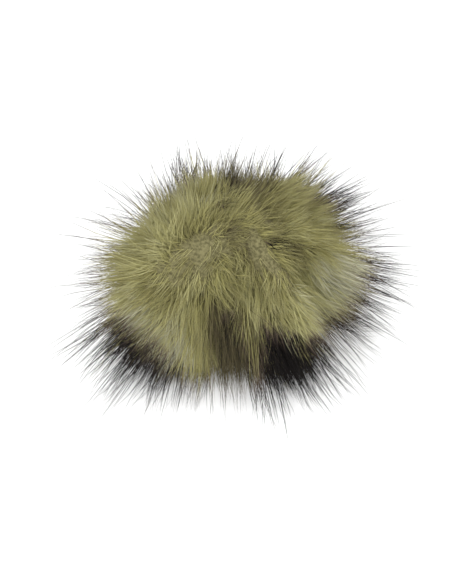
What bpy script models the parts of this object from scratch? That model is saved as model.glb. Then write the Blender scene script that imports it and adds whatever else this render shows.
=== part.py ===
"""A faux fur pom pom: fur fabric gathered into a ball, lying on a table.

The ball is one sewn piece, so it is one solid: the dense pile is the backing, and the long locks
that stand out of it are fused to it at their roots. The pile parts along a line over the crown,
falls away from that line on every side, and splays out where it meets the table.

Metres, +Z up. The origin is on the table, under the middle of the ball. +X is the long way
across, and -Y is the side that shows most.
"""

import math
import random

import bmesh
import bpy
from mathutils import Vector
from mathutils.bvhtree import BVHTree

# Driving sizes of the dense pile, which is what shows as the solid ball.
PILE_WIDTH = 0.073
PILE_DEPTH = 0.061
PILE_HEIGHT = 0.0715
FLAT_SPOT_DEPTH = 0.0022  # how far the ball sinks onto its small flat spot

# The parting over the crown: a short line along X, from which the pile falls away.
PARTING_LEFT = -0.016
PARTING_RIGHT = 0.002
PARTING_Y = 0.002

# The locks that stand out of the pile.
LOCK_SITES = 290
LOCK_LENGTH = 0.0285
UNEVEN = (0.75, 1.70, 0.90)  # shortest, longest and most usual share of that length
CROWN_LENGTH = 0.85  # how much of its length a lock keeps over the crown
BACK_LENGTH = 1.18  # how much longer than usual a lock is at the back
LOCK_WIDTH = 0.0052
LOCK_THICKNESS = 0.0038
ROOT_DEPTH = 0.0034  # how deep a lock is rooted in the pile
RISE_AT_ROOT = 1.35  # how much a lock stands up, against how much it is combed over
RISE_AT_TIP = 0.30
RISE_WITHIN = 0.85  # share of its length in which a lock lies down
FALL_AT_TIP = 0.45  # how much a lock points down at its tip
PATH_STEPS = 12  # steps in which a lock's path is worked out
SWIRL = math.radians(-26)  # the comb turns clockwise on the right of the parting
SWIRL_REACH = 0.022  # how far from the parting the turn still has its full strength
SWIRL_FADE = 0.020  # the distance over which it comes in and fades out
TABLE_CLEARANCE = 0.0003
LOWEST_SITE = -0.93  # no lock is rooted below this, round the flat spot
SHORT_BELOW = 0.15  # locks rooted lower than this grow shorter towards the table
SHORTEST = 0.42
SHORT_ABOVE = 0.20  # locks rooted higher than this grow shorter towards the crown
TRIMS = (1.0, 0.9, 0.8, 0.7)  # a lock that meets another is trimmed by these, or left out
SEED = 8

# How wide a lock is along its length. After the last row it narrows to a point.
LOCK_PROFILE = (
    # share of its length, share of its full width
    (0.00, 0.95),
    (0.42, 0.88),
    (0.76, 0.50),
)

# Where the outline swells or draws in, by bearing anticlockwise from +X as seen from above.
OUTLINE = (
    # bearing in degrees, half its spread in degrees, change of reach
    (20, 16, -0.09),
    (60, 12, 0.03),
    (90, 30, -0.11),
    (150, 24, -0.07),
    (180, 11, 0.07),
    (208, 16, 0.12),
    (227, 14, 0.13),
    (268, 24, -0.07),
    (300, 14, 0.17),
    (330, 14, -0.14),
)

# Low lumps in the dense pile: waves across the ball, as turns per metre, and their height.
LUMP_WAVES = (
    # along x, along y, along z, phase, height
    (31.0, 9.0, 14.0, 0.3, 0.0011),
    (-12.0, 34.0, 8.0, 1.9, 0.0009),
    (17.0, -21.0, 36.0, 4.1, 0.0008),
)

CENTRE = Vector((0.0, 0.0, PILE_HEIGHT / 2 - FLAT_SPOT_DEPTH))
DOWN = Vector((0.0, 0.0, -1.0))
UP = Vector((0.0, 0.0, 1.0))


def clear_scene():
    for obj in list(bpy.data.objects):
        bpy.data.objects.remove(obj)


def fur_material():
    """Khaki pile with a soft sheen."""
    material = bpy.data.materials.new("khaki_fur")
    material.use_nodes = True
    shader = material.node_tree.nodes["Principled BSDF"]
    shader.inputs["Base Color"].default_value = (0.235, 0.215, 0.098, 1.0)
    shader.inputs["Roughness"].default_value = 0.62
    shader.inputs["Metallic"].default_value = 0.0
    return material


def ease(share):
    """0 to 1 with a soft start and end."""
    share = min(1.0, max(0.0, share))
    return share * share * (3 - 2 * share)


def reach_at(direction):
    """How much further than usual the outline reaches on this side of the ball."""
    bearing = math.degrees(math.atan2(direction.y, direction.x)) % 360
    level = math.hypot(direction.x, direction.y)
    change = 0.0
    for middle, half_spread, share in OUTLINE:
        apart = abs((bearing - middle + 180) % 360 - 180)
        change += share * math.exp(-((apart / half_spread) ** 2))
    return 1.0 + change * ease(level)


def pile_point(direction):
    """The point of the dense pile's surface in this direction from the ball's centre."""
    shell = Vector((
        direction.x * PILE_WIDTH / 2,
        direction.y * PILE_DEPTH / 2,
        direction.z * PILE_HEIGHT / 2,
    ))
    point = shell * reach_at(direction)
    for along_x, along_y, along_z, phase, height in LUMP_WAVES:
        turn = math.tau * (along_x * shell.x + along_y * shell.y + along_z * shell.z)
        point += direction * height * math.sin(turn + phase)
    point += CENTRE
    point.z = max(point.z, 0.0)
    return point


def pile_normal(point):
    """Which way the pile's surface faces, at a point on it or above it."""
    off = point - CENTRE
    return Vector((
        off.x / PILE_WIDTH**2,
        off.y / PILE_DEPTH**2,
        off.z / PILE_HEIGHT**2,
    )).normalized()


def comb_direction(point):
    """The level direction in which the pile is combed at this point: away from the parting."""
    nearest = min(PARTING_RIGHT, max(PARTING_LEFT, point.x))
    away = Vector((point.x - nearest, point.y - PARTING_Y, 0.0))
    if away.length < 1e-6:
        away = Vector((0.0, -1.0, 0.0))
    right_side = ease((point.x - PARTING_RIGHT) / SWIRL_FADE)
    inside = 1.0 - ease((away.length - SWIRL_REACH) / SWIRL_FADE)
    turn = SWIRL * right_side * inside
    across = Vector((-away.y, away.x, 0.0))
    return (away * math.cos(turn) + across * math.sin(turn)).normalized()


def lock_path(direction, length):
    """Points and headings along a lock, from its root in the pile to its point."""
    surface = pile_point(direction)
    point = surface - pile_normal(surface) * ROOT_DEPTH
    comb = comb_direction(point)
    whole = length + ROOT_DEPTH
    path = [(point.copy(), (pile_normal(surface) * RISE_AT_ROOT + comb).normalized())]
    for step in range(1, PATH_STEPS + 1):
        along = step / PATH_STEPS
        rise = RISE_AT_ROOT + (RISE_AT_TIP - RISE_AT_ROOT) * ease(along / RISE_WITHIN)
        heading = (pile_normal(point) * rise + comb + DOWN * FALL_AT_TIP * along).normalized()
        point = point + heading * (whole / PATH_STEPS)
        floor = TABLE_CLEARANCE + LOCK_THICKNESS / 2 * thickness_at(along)
        if point.z < floor:
            point.z = floor
            heading = Vector((heading.x, heading.y, 0.0)).normalized()
        path.append((point.copy(), heading))
    return path


def thickness_at(along):
    """How thick a lock is at this share of its length, as a share of its full thickness."""
    rows = LOCK_PROFILE + ((1.0, 0.0),)
    for (start, wide), (end, narrow) in zip(rows, rows[1:]):
        if along <= end:
            share = (along - start) / (end - start)
            return wide + (narrow - wide) * share
    return 0.0


def place_on(path, along):
    """The point and heading at this share of a path."""
    at = along * (len(path) - 1)
    before = min(int(at), len(path) - 2)
    share = at - before
    point = path[before][0].lerp(path[before + 1][0], share)
    heading = path[before][1].lerp(path[before + 1][1], share).normalized()
    return point, heading


def lock_shape(direction, length, size):
    """Corners and faces of a four-sided tapering lock, flatter than it is wide."""
    path = lock_path(direction, length)
    level_side = comb_direction(path[0][0]).cross(UP)
    corners = []
    for along, share in LOCK_PROFILE:
        point, heading = place_on(path, along)
        side = (level_side - heading * level_side.dot(heading)).normalized()
        over = side.cross(heading)
        wide = side * (LOCK_WIDTH / 2 * share * size)
        thick = over * (LOCK_THICKNESS / 2 * share * size)
        corners += [point + wide, point + thick, point - wide, point - thick]
    corners.append(path[-1][0])
    faces = [(3, 2, 1, 0)]
    for ring in range(0, 4 * (len(LOCK_PROFILE) - 1), 4):
        for k in range(4):
            n = (k + 1) % 4
            faces.append((ring + k, ring + n, ring + 4 + n, ring + 4 + k))
    last = 4 * (len(LOCK_PROFILE) - 1)
    for k in range(4):
        faces.append((last + k, last + (k + 1) % 4, last + 4))
    return corners, faces


def touches(tree, middle, placed):
    """True where this lock meets one that is already placed."""
    return any(
        (middle - other_middle).length < 2 * LOCK_LENGTH and tree.overlap(other)
        for other, other_middle in placed
    )


def lock_sites():
    """Directions spread evenly over the ball on a golden-angle spiral, less the flat spot."""
    golden = math.pi * (3 - math.sqrt(5))
    for k in range(LOCK_SITES):
        level = 1 - 2 * (k + 0.5) / LOCK_SITES
        if level < LOWEST_SITE:
            break
        across = math.sqrt(1 - level * level)
        yield Vector((across * math.cos(k * golden), across * math.sin(k * golden), level))


def object_from(mesh, name):
    data = bpy.data.meshes.new(name)
    bmesh.ops.recalc_face_normals(mesh, faces=mesh.faces)
    mesh.to_mesh(data)
    mesh.free()
    obj = bpy.data.objects.new(name, data)
    bpy.context.scene.collection.objects.link(obj)
    return obj


def build_locks():
    """Every lock in one mesh. They stand apart, so they join only through the pile."""
    chance = random.Random(SEED)
    mesh = bmesh.new()
    placed = []
    for direction in lock_sites():
        lower = ease((SHORT_BELOW - direction.z) / (SHORT_BELOW - LOWEST_SITE))
        upper = ease((direction.z - SHORT_ABOVE) / (1.0 - SHORT_ABOVE))
        shorter = 1.0 + (SHORTEST - 1.0) * lower + (CROWN_LENGTH - 1.0) * upper
        length = LOCK_LENGTH * shorter * reach_at(direction) * chance.triangular(*UNEVEN)
        length *= 1.0 + (BACK_LENGTH - 1.0) * ease(direction.y)
        size = chance.uniform(0.9, 1.06)
        for trim in TRIMS:
            corners, faces = lock_shape(direction, length * trim, size * trim)
            tree = BVHTree.FromPolygons(corners, faces)
            middle = (corners[0] + corners[-1]) / 2
            if not touches(tree, middle, placed):
                placed.append((tree, middle))
                verts = [mesh.verts.new(corner) for corner in corners]
                for face in faces:
                    mesh.faces.new([verts[k] for k in face])
                break
    print("locks:", len(placed))
    return object_from(mesh, "lock_helper")


def build_pile():
    """The dense pile: a lumpy ball with a small flat spot."""
    mesh = bmesh.new()
    bmesh.ops.create_icosphere(mesh, subdivisions=3, radius=1.0)
    for vert in mesh.verts:
        vert.co = pile_point(vert.co.normalized())
    return object_from(mesh, "fur_ball")


def main():
    clear_scene()
    ball = build_pile()
    locks = build_locks()
    locks.hide_render = True
    locks.display_type = "WIRE"
    join = ball.modifiers.new("fuse the locks", "BOOLEAN")
    join.operation = "UNION"
    join.object = locks
    join.use_self = True
    ball.data.materials.append(fur_material())


main()
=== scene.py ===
# %% [markdown]
# # A faux fur pom pom
#
# This lesson dresses a solid model of a loose fur pom pom, so that it looks like long, soft,
# two-tone fur. A real one is a disc of fur fabric, gathered round its edge and drawn closed round
# a little stuffing. All that shows is its pile: a dense khaki underfur, a longer top coat that is
# combed away from a parting over the crown, and thin guard hairs and a few longer stray hairs,
# with dark brown tips, that stand out past it.
#
# The fur could be a hair system, but hair systems can't be exported as a mesh. It could be shells
# of see-through noise, but those fall apart when looked at from the side. Here each hair is a
# thin closed spike of a mesh, and tens of thousands of them are built at once with arrays.

# %% Load the solid model and measure it
import math

import bpy
import numpy as np
from mathutils import Matrix, Vector


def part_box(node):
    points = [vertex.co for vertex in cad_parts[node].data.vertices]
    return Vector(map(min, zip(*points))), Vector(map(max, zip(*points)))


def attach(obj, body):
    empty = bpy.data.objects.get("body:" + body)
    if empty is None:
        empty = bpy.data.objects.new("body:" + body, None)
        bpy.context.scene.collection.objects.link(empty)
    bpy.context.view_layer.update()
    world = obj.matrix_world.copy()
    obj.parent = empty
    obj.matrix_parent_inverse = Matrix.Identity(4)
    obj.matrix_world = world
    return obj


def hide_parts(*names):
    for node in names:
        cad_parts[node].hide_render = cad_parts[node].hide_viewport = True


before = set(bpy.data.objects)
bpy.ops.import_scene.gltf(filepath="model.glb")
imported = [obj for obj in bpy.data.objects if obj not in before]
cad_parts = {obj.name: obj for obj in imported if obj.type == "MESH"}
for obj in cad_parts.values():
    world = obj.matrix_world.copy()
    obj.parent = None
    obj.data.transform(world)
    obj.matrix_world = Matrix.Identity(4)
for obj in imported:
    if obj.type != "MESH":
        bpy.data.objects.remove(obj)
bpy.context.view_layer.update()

BALL = "fur_ball"
low, high = (np.array(corner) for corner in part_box(BALL))
print("solid ball in mm:", ((high - low) * 1000).round(1))

# %% [markdown]
# ## The camera
#
# The ball lies on a table and is seen from above and in front, 60 degrees up, so the crown and
# its parting face the camera. The picture is 452 by 584 pixels. One pixel at the ball is 0.39 mm,
# because the widest span between hair tips is 385 pixels and about 150 mm. A long lens keeps the
# ball round. The same numbers turn a point in space into a pixel, which later steps use to comb
# and colour the fur.

# %% Place the camera
PICTURE_WIDE = 452
PICTURE_HIGH = 584
METRES_PER_PIXEL = 0.150 / 385
BALL_MIDDLE_PIXEL = (240, 258)
BALL_MIDDLE_HEIGHT = 0.0395
CAMERA_ELEVATION = math.radians(60)
LENS_MM = 100
FILM_MM = 36

to_right = np.array([1.0, 0.0, 0.0])
to_top = np.array([0.0, math.sin(CAMERA_ELEVATION), math.cos(CAMERA_ELEVATION)])
to_camera = np.cross(to_right, to_top)

ball_middle = np.array([0.0, 0.0, BALL_MIDDLE_HEIGHT])
distance = PICTURE_HIGH * METRES_PER_PIXEL * LENS_MM / FILM_MM
pixels_off = np.array([PICTURE_WIDE / 2, PICTURE_HIGH / 2]) - BALL_MIDDLE_PIXEL
target = ball_middle + METRES_PER_PIXEL * (pixels_off[0] * to_right - pixels_off[1] * to_top)
camera_place = target + to_camera * distance

camera = bpy.data.objects.new("camera", bpy.data.cameras.new("camera"))
bpy.context.scene.collection.objects.link(camera)
camera.data.lens = LENS_MM
camera.data.sensor_width = FILM_MM
camera.data.clip_start = 0.01
camera.data.dof.use_dof = False
camera.matrix_world = Matrix.Translation(camera_place) @ Matrix(
    np.array([to_right, to_top, to_camera]).T.tolist()
).to_4x4()
bpy.context.scene.camera = camera


def pixel_of(points):
    """Where points in space show in the picture, as pixels from its top left corner."""
    seen = points - camera_place
    spread = LENS_MM / FILM_MM * PICTURE_HIGH / -(seen @ to_camera)
    across = PICTURE_WIDE / 2 + (seen @ to_right) * spread
    down = PICTURE_HIGH / 2 - (seen @ to_top) * spread
    return np.stack([across, down], -1)


print("camera at", camera_place.round(3), "ball's middle at pixel", pixel_of(ball_middle).round(1))

# %% [markdown]
# ## The studio
#
# A product picture on white has soft light from every side. A pale floor lies under the ball, a
# white sky lights it from all round, and two large soft lamps give the hair a little shape: a key
# lamp over the camera's left shoulder and a weaker one on the right. Large lamps were chosen
# because small ones would draw a hard shadow and a hard glint on every hair.

# %% Build the floor, the sky and the lamps
FLOOR_SIZE = 6.0
SKY_STRENGTH = 1.15
LAMPS = (
    # name, place, size, watts
    ("key_lamp", (-0.45, -0.55, 0.95), 0.7, 8.0),
    ("fill_lamp", (0.75, -0.25, 0.70), 0.7, 3.5),
)


def plain_material(name, colour, roughness):
    material = bpy.data.materials.new(name)
    material.use_nodes = True
    shader = material.node_tree.nodes["Principled BSDF"]
    shader.inputs["Base Color"].default_value = (*colour, 1.0)
    shader.inputs["Roughness"].default_value = roughness
    return material


def add_floor():
    edge = FLOOR_SIZE / 2
    corners = [(-edge, -edge, 0.0), (edge, -edge, 0.0), (edge, edge, 0.0), (-edge, edge, 0.0)]
    mesh = bpy.data.meshes.new("floor")
    mesh.from_pydata(corners, [], [(0, 1, 2, 3)])
    mesh.materials.append(plain_material("pale_floor", (0.92, 0.92, 0.92), 0.9))
    floor = bpy.data.objects.new("floor", mesh)
    bpy.context.scene.collection.objects.link(floor)
    return floor


def add_lamp(name, place, size, watts):
    lamp = bpy.data.lights.new(name, "AREA")
    lamp.size = size
    lamp.energy = watts
    holder = bpy.data.objects.new(name, lamp)
    holder.location = place
    aim = Vector(ball_middle.tolist()) - holder.location
    holder.rotation_euler = aim.to_track_quat("-Z", "Y").to_euler()
    bpy.context.scene.collection.objects.link(holder)


sky = bpy.data.worlds.new("white_sky")
sky.use_nodes = True
sky.node_tree.nodes["Background"].inputs["Color"].default_value = (1.0, 1.0, 1.0, 1.0)
sky.node_tree.nodes["Background"].inputs["Strength"].default_value = SKY_STRENGTH
bpy.context.scene.world = sky
bpy.context.scene.view_settings.view_transform = "Standard"
add_floor()
for lamp_row in LAMPS:
    add_lamp(*lamp_row)
print("lamps:", len(LAMPS))

# %% [markdown]
# ## The shape under the fur
#
# The hairs need something to grow on: the skin, which is the fabric that the pile is knitted
# into. It lies inside the solid's dense pile, because the hairs fill the space between them. It
# could be read from the solid's mesh, but that one already has locks on it, so a formula gives
# the shape again: a slightly squashed sphere, with a flat spot on the table, that swells or draws
# in on some sides.

# %% Describe the ball
SKIN_SIZE = np.array([0.070, 0.051, 0.068])
FLAT_SPOT_DEPTH = 0.0010
OUTLINE = (
    # bearing in degrees, half its spread in degrees, change of reach
    (18, 19, -0.28),
    (30, 8, 0.09),
    (64, 13, 0.08),
    (90, 30, -0.23),
    (117, 8, -0.09),
    (131, 7, 0.07),
    (157, 22, -0.22),
    (177, 10, 0.15),
    (214, 11, 0.21),
    (227, 14, 0.29),
    (249, 8, 0.06),
    (268, 24, -0.10),
    (283, 6, -0.06),
    (296, 13, 0.37),
    (321, 17, -0.34),
)
skin_middle = np.array([0.0, 0.0, SKIN_SIZE[2] / 2 - FLAT_SPOT_DEPTH])


def unit(vectors):
    return vectors / np.maximum(np.linalg.norm(vectors, axis=-1, keepdims=True), 1e-12)


def dot(a, b):
    return (a * b).sum(-1, keepdims=True)


def ease(share):
    """0 to 1 with a soft start and end."""
    share = np.clip(share, 0.0, 1.0)
    return share * share * (3 - 2 * share)


def reach_at(directions):
    """How much further than usual the ball reaches on this side, seen from its middle."""
    bearing = np.degrees(np.arctan2(directions[:, 1], directions[:, 0]))
    change = np.zeros(len(directions))
    for middle, half_spread, share in OUTLINE:
        apart = (bearing - middle + 180) % 360 - 180
        change += share * np.exp(-((apart / half_spread) ** 2))
    return 1.0 + change * ease(np.hypot(directions[:, 0], directions[:, 1]))


def ball_point(directions):
    points = directions * SKIN_SIZE / 2 * reach_at(directions)[:, None] + skin_middle
    points[:, 2] = np.maximum(points[:, 2], 0.0)
    return points


def ball_normal(points):
    """Which way the ball faces, at points on it or above it."""
    return unit((points - skin_middle) / SKIN_SIZE**2)


def spread_directions(count, lowest):
    """Directions spread evenly on a golden-angle spiral, from the crown down to this level."""
    k = np.arange(count)
    level = 1 - (1 - lowest) * (k + 0.5) / count
    turn = k * math.pi * (3 - math.sqrt(5))
    across = np.sqrt(1 - level**2)
    return np.stack([across * np.cos(turn), across * np.sin(turn), level], -1)


print("skin in mm:", SKIN_SIZE * 1000)

# %% [markdown]
# ## Combing
#
# Fur looks real when neighbouring hairs agree on where they go. On this ball the pile parts along
# a short line over the crown and falls away from it, with a second small fan on the right. The
# way it lies was read off the picture at nearly fifty places, and each hair takes a mean of the
# places nearest to it. On the far side, which doesn't show, the hair simply falls away from the
# parting.

# %% Write down how the fur is combed
COMB_MARKS = (
    # pixel across, pixel down, bearing anticlockwise from rightwards
    (170, 222, 100), (190, 205, 84), (212, 205, 62), (238, 204, 35), (265, 208, 12),
    (305, 208, 6), (345, 200, 20), (378, 190, 26), (150, 185, 132), (120, 205, 150),
    (190, 170, 95), (225, 165, 80), (262, 165, 62), (300, 170, 42), (335, 178, 32),
    (132, 240, 174), (105, 262, 182), (150, 252, 182), (118, 290, 196), (140, 312, 214),
    (158, 286, 226), (128, 352, 222), (158, 358, 236), (182, 280, 258), (200, 322, 268),
    (185, 385, 258), (222, 365, 280), (222, 300, 284), (240, 335, 294), (252, 268, 278),
    (275, 292, 292), (270, 330, 294), (285, 372, 304), (252, 392, 286), (305, 285, 312),
    (318, 322, 312), (345, 352, 322), (292, 240, 334), (330, 252, 334), (362, 285, 334),
    (365, 318, 336), (390, 250, 352), (335, 226, 356), (262, 232, 352), (232, 236, 20),
    (196, 240, 120), (208, 252, 262),
)
COMB_BLUR = 11.0  # pixels within which marks blend into each other
PARTING_LEFT = -0.026
PARTING_RIGHT = 0.002
PARTING_Y = 0.002
FAR_FALL = 0.35  # how much the fur of the far side is combed downwards

marks = np.array(COMB_MARKS, float)
mark_ways = np.stack([np.cos(np.radians(marks[:, 2])), np.sin(np.radians(marks[:, 2]))], -1)


def comb_way(points, stray):
    """The direction in which the fur is combed at these points, looked up this many pixels off."""
    apart = (pixel_of(points) + stray)[:, None, :] - marks[None, :, :2]
    weight = 1 / ((apart**2).sum(-1) + COMB_BLUR**2) ** 2
    flat = unit(weight @ mark_ways)
    near_side = flat[:, :1] * to_right + flat[:, 1:] * to_top
    nearest = np.clip(points[:, 0], PARTING_LEFT, PARTING_RIGHT)
    far_side = np.stack([points[:, 0] - nearest, points[:, 1] - PARTING_Y, 0 * nearest], -1)
    far_side = unit(unit(far_side) - np.array([0.0, 0.0, FAR_FALL]))
    facing = ease((ball_normal(points) @ to_camera + 0.15) / 0.4)[:, None]
    way = unit(near_side * facing + far_side * (1 - facing))
    against = np.minimum(dot(way, ball_normal(points)), 0.0)
    return unit(way - against * ball_normal(points))


print("comb marks:", len(marks))

# %% [markdown]
# ## Dark tips
#
# The fibre is dyed in two colours: khaki for most of its length and dark brown at its tip. Over
# the crown hardly any dark shows. Round the rim nearly all does, and a few locks are dark almost
# to their roots. Painting the hairs by height alone would make an even ring, so the dark is
# listed: a hair turns dark where its path leaves the khaki body of the picture, or comes into
# one of the dark places in it. Short coats show less of the dark rim than long ones, because
# their tips lie deeper in the pile. Some places are paler or browner than the rest, so the tint
# of the hair that grows there is shifted. Some of these shifts are the fur's own colour; others
# are painted highlight, where the lamps leave the fur in shade, and painted shade along dark
# streaks and over the crown. The places were listed, and then corrected in rounds to bring the
# edge of the fur and its light and dark closer to the picture. The far side doesn't show in the
# picture. There each tuft is khaki for a length of its own, and dark from there on.

# %% Write down where the fur is dark
KHAKI_MIDDLE = (236, 284)  # middle of the khaki body, in pixels
KHAKI_EDGE = (
    # bearing anticlockwise from rightwards, pixels from there to the end of the khaki
    (0, 127), (20, 126), (40, 120), (60, 120), (80, 124), (100, 127), (120, 113), (140, 116),
    (160, 132), (180, 136), (195, 124), (208, 105), (220, 106), (232, 98), (245, 103), (256, 104),
    (268, 102), (276, 98), (284, 84), (292, 64), (302, 50), (312, 58), (320, 86), (330, 94),
    (340, 92), (350, 112), (360, 127),
)
DARK_PLACES = (
    # pixel across, pixel down, radius in pixels, strength
    (279, 344, 17, 0.95),
    (286, 362, 19, 1.1),
    (298, 384, 18, 1.1),
    (264, 352, 14, 0.55),
    (268, 372, 16, 0.66),
    (228, 318, 11, 0.42),
    (236, 332, 12, 0.45),
    (243, 346, 13, 0.47),
    (247, 362, 14, 0.50),
    (236, 376, 14, 0.46),
    (212, 386, 9, 0.42),
    (144, 377, 22, 1.1),
    (164, 390, 18, 1.05),
    (122, 364, 15, 0.90),
    (292, 340, 11, 0.75),
    (337, 330, 18, 1.2),
    (317, 345, 16, 1.1),
    (353, 207, 13, 0.53),
    (330, 197, 14, 0.25),
    (300, 190, 16, 0.22),
    (264, 190, 12, 0.26),
    (221, 207, 8, 0.42),
    (154, 188, 12, 0.60),
    (270, 243, 8, 0.40),
)
# Partly the fur's own paler and browner patches, partly painted highlight and painted shade.
TINT_AND_PAINTED_LIGHT_PLACES = (
    # pixel across, pixel down, radius in pixels, how much paler its tint is
    (296, 293, 22, 0.28),
    (170, 335, 28, 0.08),
    (190, 205, 40, 0.20),
    (330, 250, 34, 0.31),
    (355, 298, 24, 0.35),
    (150, 274, 24, -0.06),
    (154, 244, 14, 0.20),
    (335, 228, 12, 0.14),
    (138, 300, 20, 0.14),
    (186, 324, 12, 0.42),
    (214, 334, 8, -0.25),
    (158, 306, 16, 0.34),
    (122, 270, 22, 0.40),
    (240, 212, 16, -0.38),
    (222, 207, 10, -0.60),
    (284, 240, 13, -0.22),
    (315, 216, 18, -0.18),
    (244, 304, 12, -0.38),
    (222, 260, 20, -0.20),
    (312, 268, 16, 0.20),
    (176, 304, 18, 0.28),
    (345, 236, 20, 0.42),
    (350, 262, 16, 0.18),
    (228, 310, 19, -0.55),
    (250, 324, 12, -0.30),
    (180, 378, 16, -0.20),
    (236, 328, 15, -0.50),
    (221, 290, 16, -0.42),
    (240, 348, 18, -0.50),
    (236, 378, 20, -0.40),
    (204, 362, 14, -0.30),
    (215, 235, 40, -0.10),
)
EDGE_SOFT = 60  # pixels over which the khaki edge gives way to dark
DARK_FROM = 0.5  # how dark the picture is where a hair turns dark
FAR_KHAKI = 0.0175  # length of khaki on the far side's hairs

khaki_edge = np.array(KHAKI_EDGE, float)
dark_places = np.array(DARK_PLACES, float)


def picture_dark(points, rim):
    """How dark the fur is where these points show, with this much of the dark rim."""
    pixel = pixel_of(points)
    off = pixel - np.array(KHAKI_MIDDLE)
    bearing = np.degrees(np.arctan2(-off[..., 1], off[..., 0])) % 360
    edge = np.interp(bearing, khaki_edge[:, 0], khaki_edge[:, 1])
    dark = rim * ease((np.hypot(off[..., 0], off[..., 1]) - edge) / EDGE_SOFT + 0.5)
    for across, down, radius, strength in dark_places:
        apart = (pixel[..., 0] - across) ** 2 + (pixel[..., 1] - down) ** 2
        dark = np.maximum(dark, strength * np.exp(-apart / radius**2))
    return dark


def tint_and_light_shift(roots):
    """Tint shift where these hairs grow: own patches, painted highlight, painted shade."""
    pixel = pixel_of(roots)
    paler = np.zeros(len(roots))
    for across, down, radius, shift in TINT_AND_PAINTED_LIGHT_PLACES:
        apart = (pixel[:, 0] - across) ** 2 + (pixel[:, 1] - down) ** 2
        paler += shift * np.exp(-apart / radius**2)
    return paler


def dark_share(path, length, nudge, lock_nudge, rim):
    """What share of each hair is dark, counted from its tip."""
    stops = path.shape[1]
    past = picture_dark(path, rim) > DARK_FROM + nudge[:, None]
    first = np.where(past.any(1), past.argmax(1), stops) / (stops - 1)
    near_share = np.clip(1 - first, 0, 1)
    far_share = np.clip(1 - FAR_KHAKI * (1 + nudge + lock_nudge) / length, 0, 1)
    facing = ease((ball_normal(path[:, 0]) @ to_camera + 0.25) / 0.2)
    return near_share * facing + far_share * (1 - facing)


print("dark places:", len(dark_places))

# %% [markdown]
# ## Growing hairs
#
# A hair is a path of a few steps. Each step leans out along the ball's normal and along the comb,
# and sinks a little under its own weight. A hair could be one straight spike, but fur that is
# combed over bends, and a straight one would leave the ball like a needle.

# %% Bend hairs along the comb
FLOOR_GAP = 0.0004  # hairs that come down to the table lie this far above it
DARK_CHECKS = 17  # places along a hair where its colour is looked up
SWAY_TURN = 4.0  # how far round its wave a hair gets, in radians
DOWN = np.array([0.0, 0.0, -1.0])


def turned(ways, normals, angles):
    """Directions turned about the ball's normal."""
    return ways * np.cos(angles)[:, None] + np.cross(normals, ways) * np.sin(angles)[:, None]


def grow(roots, length, turn, lift, stray, layer):
    """Paths of hairs from these roots, as an array of hairs by stops by 3."""
    stops = layer["stops"]
    point = roots.copy()
    path = [point]
    for stop in range(1, stops):
        along = stop / (stops - 1)
        normal = ball_normal(point)
        way = turned(comb_way(point, stray), normal, turn)
        rise = (lift * (layer["lift"] + (layer["tip_lift"] - layer["lift"]) * along))[:, None]
        heading = unit(normal * rise + way * layer["comb"] + DOWN * layer["droop"] * along)
        point = point + heading * (length / (stops - 1))[:, None]
        point[:, 2] = np.maximum(point[:, 2], FLOOR_GAP)
        path.append(point)
    return np.stack(path, 1)


print("hairs on the table lie this far above it, in mm:", FLOOR_GAP * 1000)

# %% [markdown]
# ## Locks
#
# Long pile hangs together in wide locks, and the rim of the ball is ragged because of them. The
# hairs of a lock share a turn, a lift, a tint and a length. Each tuft in it follows the comb of a
# place a few pixels off, so that tufts cross at the parting and leave no bare line along it.

# %% Divide the pile into locks
LOCKS = 230  # wide locks of the pile, each a few tufts
LOCK_SEED = 3
LOCK_SCATTER = 0.04  # how far a lock strays from an even spread
LOCK_TURN = 0.30  # how far a lock strays from the comb, in radians
LOCK_LIFT = 0.35  # how much more or less than usual a lock stands up
LOCK_DARK = 0.30  # how much the khaki length differs from lock to lock on the far side
SHORT_ABOVE = 0.30  # hair that grows higher on the ball than this gets shorter towards the crown
STRAY = 8.0  # tufts follow the comb of a place this many pixels off, so they cross at the parting

lock_chance = np.random.default_rng(LOCK_SEED)
lock_ways = spread_directions(LOCKS, -1.0) + lock_chance.normal(0, LOCK_SCATTER, (LOCKS, 3))
lock_roots = ball_point(unit(lock_ways))
lock_turn = lock_chance.normal(0, 1, LOCKS)
lock_lift = lock_chance.uniform(-1, 1, LOCKS)
lock_tint = lock_chance.uniform(0, 1, LOCKS)
lock_dark = lock_chance.normal(0, 1, LOCKS)
lock_long = lock_chance.uniform(-1, 1, LOCKS)
print("locks:", LOCKS)

# %% [markdown]
# ## Tufts
#
# Fur also clumps: hairs that grow near each other draw together towards their tips. They could be
# left apart, but then the ball looks like a brush. So every coat first grows a sparse set of
# leading hairs, and then each hair is drawn towards the nearest leader, more and more along its
# length.

# %% Grow one coat
TINT_LEAST = 0.13
TINT_OF_TUFT = 0.62  # how much of a hair's tint it has from its tuft
TINT_OF_HAIR = 0.07
NUDGE_RANGE = (-0.30, 0.60)  # how much sooner or later than usual a hair may turn dark
ROOT_PARTS = 24  # roots are compared with the leaders in this many parts, to save memory
CLUMP_POWER = 1.3  # more than 1 draws a tuft together mostly near its tips


def nearest_leader(roots, leaders):
    """Which leader grows closest to each root."""
    chosen = []
    for part in np.array_split(roots, ROOT_PARTS):
        chosen.append((((part[:, None] - leaders[None]) ** 2).sum(-1)).argmin(1))
    return np.concatenate(chosen)


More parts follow.
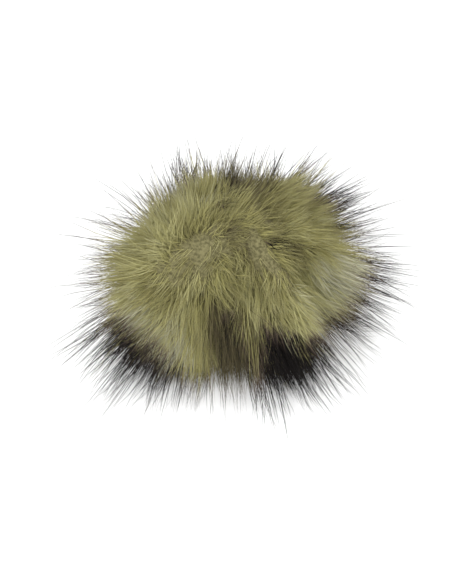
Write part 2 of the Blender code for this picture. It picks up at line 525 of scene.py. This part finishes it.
def grow_layer(layer, chance):
    """Every hair of a layer: its path, its thickness, its share of dark tip and its tint."""
    count, leaders = layer["hairs"], layer["tufts"]
    lead_from = spread_directions(leaders, layer["lowest"])
    lead_from = unit(lead_from + chance.normal(0, 0.5 / math.sqrt(leaders), (leaders, 3)))
    lead_roots = ball_point(lead_from)
    lock = nearest_leader(lead_roots, lock_roots)
    lead_stray = chance.normal(0, STRAY, (leaders, 2))
    lead_turn = LOCK_TURN * lock_turn[lock] + chance.normal(0, layer["tuft_turn"], leaders)
    lead_lift = (1 + LOCK_LIFT * lock_lift[lock]) * chance.uniform(0.7, 1.3, leaders)
    upper = ease((lead_from[:, 2] - SHORT_ABOVE) / (1 - SHORT_ABOVE))
    lead_length = layer["length"] * (1 + (layer["crown"] - 1) * upper)
    lead_length *= 1 + (layer["back"] - 1) * ease(lead_from[:, 1])
    lead_length *= chance.uniform(*layer["uneven"], leaders)
    lead_length *= 1 + layer["ragged"] * lock_long[lock]
    lead_dark = chance.normal(0, layer["tuft_dark"], leaders)
    lead_tint = 0.5 * lock_tint[lock] + 0.5 * chance.uniform(0, 1, leaders)
    lead_path = grow(lead_roots, lead_length, lead_turn, lead_lift, lead_stray, layer)

    hair_from = spread_directions(count, layer["lowest"])
    hair_from = unit(hair_from + chance.normal(0, 0.8 / math.sqrt(count), (count, 3)))
    roots = ball_point(hair_from)
    tuft = nearest_leader(roots, lead_roots)
    length = lead_length[tuft] * chance.uniform(layer["shortest"], 1.0, count)
    turn = lead_turn[tuft] + chance.normal(0, layer["hair_turn"], count)
    lift = lead_lift[tuft] * chance.uniform(0.8, 1.2, count)
    stray = lead_stray[tuft] + chance.normal(0, STRAY / 4, (count, 2))
    own = grow(roots, length, turn, lift, stray, layer)

    along = np.linspace(0, 1, layer["stops"])[None, :, None]
    held = chance.uniform(*layer["clump"], count)[:, None, None] * along**CLUMP_POWER
    reached = (length / lead_length[tuft])[:, None, None]
    led = lead_path[tuft]
    drawn = led[:, :1] + (led - led[:, :1]) * reached
    path = own * (1 - held) + drawn * held
    sway = unit(np.cross(path[:, -1] - path[:, 0], ball_normal(path[:, 0])))[:, None]
    swing = chance.normal(0, layer["sway"], count)[:, None, None]
    phase = chance.uniform(0, math.tau, count)[:, None, None]
    path = path + sway * swing * (np.sin(phase + along * SWAY_TURN) - np.sin(phase)) * along
    path[..., 2] = np.maximum(path[..., 2], FLOOR_GAP)
    fine = np.linspace(0, layer["stops"] - 1, DARK_CHECKS)
    before = np.minimum(fine.astype(int), layer["stops"] - 2)
    between = (fine - before)[None, :, None]
    fine_path = path[:, before] * (1 - between) + path[:, before + 1] * between
    nudge = lead_dark[tuft] + chance.normal(0, layer["hair_dark"], count)
    nudge = np.clip(nudge, *NUDGE_RANGE)
    lock_nudge = LOCK_DARK * lock_dark[lock][tuft]
    dark = dark_share(fine_path, length, nudge, lock_nudge, layer["rim"])
    tint = TINT_LEAST + TINT_OF_TUFT * lead_tint[tuft] + TINT_OF_HAIR * chance.uniform(0, 1, count)
    # The listed shifts are partly the fur's own patches, partly painted highlight and painted
    # shade.
    tint = np.clip(tint + tint_and_light_shift(roots), 0, 0.999)
    thick = layer["thick"] * chance.uniform(0.75, 1.25, count)
    return path, thick, np.clip(dark, 0, 0.999), tint


print("places along a hair where its colour is looked up:", DARK_CHECKS)

# %% [markdown]
# ## From paths to a mesh
#
# Each hair becomes a three-sided spike, closed at its root, that narrows to a point. Three sides
# are the fewest that show from every side, and smooth shading rounds them. The colours can't be
# painted hair by hair, so a small colour chart does it: the UV map puts every hair into one of
# its columns. A column stands for one share of dark tip and one tint, and the hair's length runs
# up the column.

# %% Turn paths into spikes
DARK_STEPS = 16
TINT_STEPS = 8
COLUMNS = DARK_STEPS * TINT_STEPS
COLUMN_FILL = 0.6  # share of a column's width that a hair covers
CHART_FOOT = 0.01
CHART_HEAD = 0.99


def spike_faces(rings):
    """Triangles of one spike, as corner numbers: three corners to a ring, then the tip."""
    faces = [(2, 1, 0)]
    for ring in range(rings - 1):
        base = 3 * ring
        for k in range(3):
            a, b = base + k, base + (k + 1) % 3
            faces += [(a, b, b + 3), (a, b + 3, a + 3)]
    base = 3 * (rings - 1)
    faces += [(base + k, base + (k + 1) % 3, base + 3) for k in range(3)]
    return np.array(faces)


def spike_corners(path, thick, taper_power, chance):
    """Corners of every spike: three round each stop of its path, and one at its tip."""
    heading = unit(np.gradient(path, axis=1))
    first = unit(np.cross(heading[:, 0], chance.normal(0, 1, (len(path), 3))))
    side = unit(first[:, None] - heading * dot(heading, first[:, None]))
    over = np.cross(heading, side)
    rings = path.shape[1] - 1
    taper = 1 - np.linspace(0, 1, rings + 1)[:rings] ** taper_power
    radius = thick[:, None, None] / 2 * taper[None, :, None]
    corners = []
    for k in range(3):
        angle = math.tau * k / 3
        way = side[:, :rings] * math.cos(angle) + over[:, :rings] * math.sin(angle)
        corners.append(path[:, :rings] + way * radius)
    ringed = np.stack(corners, 2).reshape(len(path), rings * 3, 3)
    ringed[..., 2] = np.maximum(ringed[..., 2], FLOOR_GAP / 4)
    return np.concatenate([ringed, path[:, -1:]], 1)


def chart_places(dark, tint, rings, faces):
    """Where each corner of each face lies on the colour chart."""
    column = np.floor(dark * DARK_STEPS) * TINT_STEPS + np.floor(tint * TINT_STEPS)
    across = np.array([-0.5, 0.0, 0.5] * rings + [0.0]) * COLUMN_FILL
    up = np.append(np.repeat(np.arange(rings), 3), rings) / rings
    up[1] += 0.3 / rings
    u = (column[:, None] + 0.5 + across[None, :]) / COLUMNS
    v = np.broadcast_to(CHART_FOOT + (CHART_HEAD - CHART_FOOT) * up, u.shape)
    return np.stack([u, v], -1)[:, faces.ravel()]


def hair_piece(name, path, thick, dark, tint, taper_power, chance):
    """A mesh object that holds all these hairs."""
    rings = path.shape[1] - 1
    faces = spike_faces(rings)
    corners = spike_corners(path, thick, taper_power, chance)
    hairs, per_hair = corners.shape[:2]
    loops = (faces[None] + per_hair * np.arange(hairs)[:, None, None]).reshape(-1)
    mesh = bpy.data.meshes.new(name)
    mesh.vertices.add(hairs * per_hair)
    mesh.vertices.foreach_set("co", corners.astype(np.float32).ravel())
    mesh.loops.add(len(loops))
    mesh.loops.foreach_set("vertex_index", loops.astype(np.int32))
    mesh.polygons.add(len(loops) // 3)
    mesh.polygons.foreach_set("loop_start", np.arange(0, len(loops), 3, dtype=np.int32))
    mesh.update(calc_edges=True)
    chart = mesh.uv_layers.new(name="OFBake")
    places = chart_places(dark, tint, rings, faces)
    chart.data.foreach_set("uv", places.astype(np.float32).ravel())
    mesh.shade_smooth()
    mesh.materials.append(fibre)
    piece = bpy.data.objects.new(name, mesh)
    bpy.context.scene.collection.objects.link(piece)
    print(f"{name}: {hairs} hairs, {len(loops) // 3} triangles")
    return piece


print("columns of the colour chart:", COLUMNS)

# %% [markdown]
# ## The dyed fibre
#
# The material reads the colour chart: across, which column, and so which dark share and which
# tint; up, how far along the hair. Khaki deepens to olive at the root, painted shade for the
# dark inside of the packed pile, and passes through a brown band into the dark tip. The gloss is
# the same everywhere, so it sits on the shader's own sockets.

# %% Mix the fibre's colours
# Painted shade: hair roots are darkened to olive for the shade deep in the pile.
ROOT_SHADE_OLIVE = (0.213, 0.191, 0.089)
# The darkest tint is partly brown fibre and partly painted shade, for dark streaks.
KHAKI_AND_SHADE_TINTS = (
    # place among the tints, colour
    (0.00, (0.100, 0.084, 0.044)),
    (0.16, (0.219, 0.199, 0.080)),
    (0.38, (0.311, 0.288, 0.110)),
    (0.62, (0.402, 0.380, 0.174)),
    (0.875, (0.480, 0.468, 0.335)),
)
# Painted light: pale upper hair is mixed paler for light shining through the fibre.
PAINTED_BACKLIGHT = (0.540, 0.525, 0.405)
PAINTED_BACKLIGHT_SHARE = 0.36
BAND_BROWN = (0.110, 0.082, 0.062)
TIP_DARK = (0.006, 0.0042, 0.0036)

print("khaki tints:", len(KHAKI_AND_SHADE_TINTS))

# %% [markdown]
# ## Nodes
#
# A material is a net of small nodes. Written out one by one, the net would hide what it does, so
# a few short helpers add a node and join it at once.

# %% Find short ways to add and join nodes
class Nodes:
    """Short ways to add and join nodes of one material."""

    def __init__(self, material):
        material.use_nodes = True
        self.tree = material.node_tree
        self.shader = self.tree.nodes["Principled BSDF"]

    def add(self, kind, **settings):
        node = self.tree.nodes.new(kind)
        for setting, value in settings.items():
            setattr(node, setting, value)
        return node

    def feed(self, socket, value):
        if isinstance(value, bpy.types.NodeSocket):
            self.tree.links.new(value, socket)
        else:
            socket.default_value = value

    def maths(self, operation, a, b=0.0):
        node = self.add("ShaderNodeMath", operation=operation)
        self.feed(node.inputs[0], a)
        self.feed(node.inputs[1], b)
        return node.outputs[0]

    def between(self, value, start, end):
        """0 below start and 1 above end, with a soft rise."""
        node = self.add("ShaderNodeMapRange", interpolation_type="SMOOTHSTEP")
        for k, fed in enumerate((value, start, end)):
            self.feed(node.inputs[k], fed)
        return node.outputs[0]

    def mix(self, share, a, b):
        node = self.add("ShaderNodeMix", data_type="RGBA")
        for name, fed in (("Factor_Float", share), ("A_Color", a), ("B_Color", b)):
            socket = next(s for s in node.inputs if s.identifier == name)
            self.feed(socket, (*fed, 1.0) if isinstance(fed, tuple) else fed)
        return next(s for s in node.outputs if s.identifier == "Result_Color")

    def ramp(self, value, rows):
        node = self.add("ShaderNodeValToRGB")
        stops = node.color_ramp.elements
        while len(stops) < len(rows):
            stops.new(0.5)
        for stop, (place, colour) in zip(stops, rows):
            stop.position = place
            stop.color = (*colour, 1.0)
        self.feed(node.inputs[0], value)
        return node.outputs["Color"]


print("helpers to join nodes:", [name for name in vars(Nodes) if name[0] != "_"])

# %% [markdown]
# ## One fibre for every coat
#
# All the hair is the same dyed fibre, so all the coats share one material. The upper part of the
# pale hairs is mixed paler, painted light for the light that comes through them.

# %% Mix the fibre
def fibre_material(name):
    """Khaki fibre with a dark tip, read from the colour chart."""
    material = bpy.data.materials.new(name)
    nodes = Nodes(material)
    chart = nodes.add("ShaderNodeUVMap", uv_map="OFBake")
    split = nodes.add("ShaderNodeSeparateXYZ")
    nodes.feed(split.inputs[0], chart.outputs[0])
    across, up = split.outputs[0], split.outputs[1]
    column = nodes.maths("FLOOR", nodes.maths("MULTIPLY", across, COLUMNS))
    step = nodes.maths("DIVIDE", column, TINT_STEPS)
    dark = nodes.maths("DIVIDE", nodes.maths("FLOOR", step), DARK_STEPS)
    tint = nodes.maths("FRACT", step)
    # Painted shade: the root end of each hair darkens to olive.
    khaki = nodes.mix(nodes.between(up, 0.05, 0.55), ROOT_SHADE_OLIVE, nodes.ramp(tint, KHAKI_AND_SHADE_TINTS))
    # Painted light: the upper part of pale hairs is mixed paler, for light coming through them.
    backlit_share = nodes.maths("MULTIPLY", nodes.between(up, 0.55, 1.0), PAINTED_BACKLIGHT_SHARE)
    khaki = nodes.mix(nodes.maths("MULTIPLY", backlit_share, tint), khaki, PAINTED_BACKLIGHT)
    starts = nodes.maths("SUBTRACT", 1.0, dark)
    past = nodes.maths("SUBTRACT", up, starts)
    browned = nodes.mix(nodes.between(past, -0.10, 0.08), khaki, BAND_BROWN)
    tipped = nodes.mix(nodes.between(past, 0.02, 0.22), browned, TIP_DARK)
    nodes.feed(nodes.shader.inputs["Base Color"], tipped)
    nodes.shader.inputs["Roughness"].default_value = 0.55
    nodes.shader.inputs["Specular IOR Level"].default_value = 0.12
    return material


fibre = fibre_material("two_tone_fibre")
print("nodes of the fibre:", len(fibre.node_tree.nodes))

# %% [markdown]
# ## The underfur
#
# Right at the fabric the pile is too dense to see into. It could be left dark, but light leaks
# through sparse places, so a closed lumpy ball stands for it. Its dark olive is painted shade,
# like the darkened hair roots, with its colour streaked by noise.

# %% Build the underfur
UNDERFUR_DETAIL = 5
UNDERFUR_LUMP = 0.0006
UNDERFUR_WAVES = ((61.0, 23.0, 17.0), (-19.0, 57.0, 41.0))  # turns across the ball
UNDERFUR_STREAKS = 900.0  # streaks of its colour to a metre
UNDERFUR_RAISE = 0.0040  # how far up the hairs the pile is packed


def underfur_shade_material():
    material = bpy.data.materials.new("underfur_painted_shade")
    nodes = Nodes(material)
    place = nodes.add("ShaderNodeTexCoord")
    noise = nodes.add("ShaderNodeTexNoise")
    noise.inputs["Scale"].default_value = UNDERFUR_STREAKS
    noise.inputs["Detail"].default_value = 2.0
    nodes.feed(noise.inputs["Vector"], place.outputs["Object"])
    # Painted shade: the underfur's dark olive stands for shade deep in the pile.
    rows = ((0.35, (0.083, 0.075, 0.035)), (0.65, (0.174, 0.159, 0.077)))
    nodes.feed(nodes.shader.inputs["Base Color"], nodes.ramp(noise.outputs[0], rows))
    nodes.shader.inputs["Roughness"].default_value = 0.8
    nodes.shader.inputs["Specular IOR Level"].default_value = 0.1
    return material


def build_underfur():
    bpy.ops.mesh.primitive_ico_sphere_add(subdivisions=UNDERFUR_DETAIL, radius=1.0)
    piece = bpy.context.object
    piece.name = "underfur"
    mesh = piece.data
    ways = np.empty(len(mesh.vertices) * 3, np.float32)
    mesh.vertices.foreach_get("co", ways)
    ways = unit(ways.reshape(-1, 3).astype(float))
    points = ball_point(ways)
    waves = sum(np.sin(ways @ np.array(wave)) for wave in UNDERFUR_WAVES)
    points += ways * (UNDERFUR_RAISE + UNDERFUR_LUMP * waves)[:, None]
    points[:, 2] = np.maximum(points[:, 2], 0.0)
    mesh.vertices.foreach_set("co", points.astype(np.float32).ravel())
    mesh.update()
    mesh.shade_smooth()
    mesh.materials.append(underfur_shade_material())
    print("underfur:", len(mesh.polygons), "triangles")
    return piece


underfur = build_underfur()

# %% [markdown]
# ## The four coats
#
# Real fur has a short dense undercoat that fills the ball out, a longer top coat that gives the
# combed look, sparse stiff guard hairs that stand out past both, and a few stray hairs that are
# longer still and show best against the light table. One coat of equal hairs would be simpler,
# but looks like a brush. Each coat is a row of sizes, and the same function grows them all. The
# two dense ones are split into pieces, so that no piece is too heavy to handle.

# %% Grow the coats
# crown and back: how long the hair is there, as a share of its length. rim: how much of the dark
# rim it shows. ragged: how much locks differ in length. taper: more keeps a hair thick for longer.
COATS = {
    "undercoat": dict(
        hairs=25000, tufts=1800, stops=3, length=0.0150, shortest=0.50, thick=0.00044, lift=1.0,
        tip_lift=0.45, comb=0.75, droop=0.10, clump=(0.20, 0.45), lowest=-0.97, tuft_turn=0.30,
        hair_turn=0.30, tuft_dark=0.15, hair_dark=0.10, sway=0.0004, uneven=(0.85, 1.15),
        crown=1.0, rim=0.55, back=1.0, ragged=0.0, taper=1.5, pieces=2,
    ),
    "top_coat": dict(
        hairs=30000, tufts=700, stops=4, length=0.0225, shortest=0.45, thick=0.00028, lift=0.80,
        tip_lift=0.15, comb=1.0, droop=0.12, clump=(0.48, 0.92), lowest=-0.93, tuft_turn=0.30,
        hair_turn=0.20, tuft_dark=0.20, hair_dark=0.12, sway=0.0008, uneven=(0.70, 1.20),
        crown=0.85, rim=0.8, back=1.0, ragged=0.08, taper=1.5, pieces=3,
    ),
    "guard_hairs": dict(
        hairs=8900, tufts=400, stops=5, length=0.0325, shortest=0.40, thick=0.00027, lift=0.95,
        tip_lift=0.35, comb=1.0, droop=0.10, clump=(0.70, 1.0), lowest=-0.72, tuft_turn=0.40,
        hair_turn=0.20, tuft_dark=0.20, hair_dark=0.18, sway=0.0010, uneven=(0.50, 1.30),
        crown=0.50, rim=1.0, back=1.05, ragged=0.16, taper=1.7, pieces=1,
    ),
    "stray_hairs": dict(
        hairs=1700, tufts=420, stops=5, length=0.0455, shortest=0.60, thick=0.00027, lift=1.05,
        tip_lift=0.55, comb=1.0, droop=0.10, clump=(0.35, 0.85), lowest=-0.50, tuft_turn=0.30,
        hair_turn=0.15, tuft_dark=0.15, hair_dark=0.10, sway=0.0014, uneven=(0.75, 1.20),
        crown=0.30, rim=1.0, back=1.17, ragged=0.10, taper=3.0, pieces=1,
    ),
}
SEED = 7


def build_coat(name, layer, chance):
    path, thick, dark, tint = grow_layer(layer, chance)
    made = []
    for k in range(layer["pieces"]):
        label = name if layer["pieces"] == 1 else f"{name}_{k + 1}"
        part = slice(k, None, layer["pieces"])
        rows = (path[part], thick[part], dark[part], tint[part])
        made.append(hair_piece(label, *rows, layer["taper"], chance))
    return made


chance = np.random.default_rng(SEED)
coats = [piece for name, layer in COATS.items() for piece in build_coat(name, layer, chance)]

# %% [markdown]
# ## Hand over
#
# Every piece of fur moves with the one body that the model has, and together they stand for the
# solid ball, which isn't shown.

# %% Tie the pieces to the model
for piece in [underfur, *coats]:
    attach(piece, "root")
    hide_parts(BALL)
print("pieces tied to the model:", 1 + len(coats))
